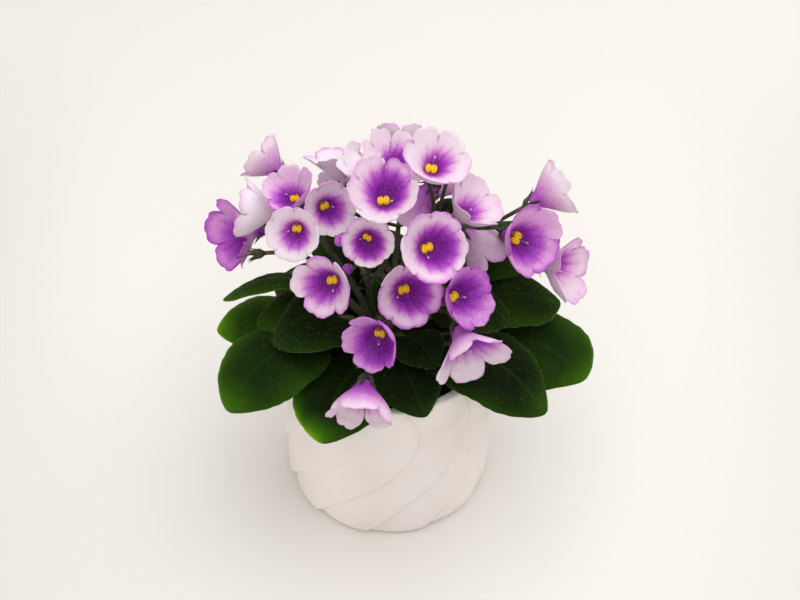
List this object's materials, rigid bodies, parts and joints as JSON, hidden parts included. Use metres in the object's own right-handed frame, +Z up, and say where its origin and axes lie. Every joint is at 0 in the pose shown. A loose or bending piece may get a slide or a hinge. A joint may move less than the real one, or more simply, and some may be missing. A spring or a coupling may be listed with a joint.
{
  "type": "potted african violet",
  "caption": "Flowering african violet in a white ceramic pot with a swirl of soft ribs: broad hairy leaves arch over the rim below a dome of cupped violet and white blooms.",
  "frame": {"origin": "centre of the pot's flat underside, on the surface that it stands on", "axes": "+Z up along the pot's axis; -Y is the side that the picture shows"},
  "size_m": [0.2022, 0.1707, 0.2161],
  "materials": {
    "pot": "matt off-white glaze over a ribbed body",
    "soil": "dark crumbly potting soil",
    "crown": "short fleshy stem with hairy leaf bases",
    "leaf": "velvety dark green blade with short hairs",
    "stalk": "hairy brown-green stem and sepals",
    "petal": "soft petal, violet throat fading to near white, yellow anthers"
  },
  "bodies": {
    "root": {"pot": "pot", "soil": "soil", "crown": "crown", "leaf_01": "leaf", "leaf_02": "leaf", "leaf_03": "leaf", "leaf_04": "leaf", "leaf_05": "leaf", "leaf_06": "leaf", "leaf_07": "leaf", "leaf_08": "leaf", "leaf_09": "leaf", "leaf_10": "leaf", "leaf_11": "leaf", "leaf_12": "leaf", "leaf_13": "leaf", "leaf_14": "leaf", "leaf_15": "leaf", "leaf_16": "leaf", "leaf_17": "leaf", "leaf_18": "leaf", "flower_stalk_01": "stalk", "flower_stalk_02": "stalk", "flower_stalk_03": "stalk", "flower_stalk_04": "stalk", "flower_stalk_05": "stalk", "flower_stalk_06": "stalk", "flower_stalk_07": "stalk", "flower_stalk_08": "stalk", "flower_stalk_09": "stalk", "flower_stalk_10": "stalk", "bloom_01": "petal", "bloom_02": "petal", "bloom_03": "petal", "bloom_04": "petal", "bloom_05": "petal", "bloom_06": "petal", "bloom_07": "petal", "bloom_08": "petal", "bloom_09": "petal", "bloom_10": "petal", "bloom_11": "petal", "bloom_12": "petal", "bloom_13": "petal", "bloom_14": "petal", "bloom_15": "petal", "bloom_16": "petal", "bloom_17": "petal", "bloom_18": "petal", "bloom_19": "petal", "bloom_20": "petal", "bloom_21": "petal", "bloom_22": "petal", "bloom_23": "petal", "bloom_24": "petal", "bloom_25": "petal", "bloom_26": "petal", "bloom_27": "petal", "bloom_28": "petal", "bloom_29": "petal"}
  },
  "joints": []
}
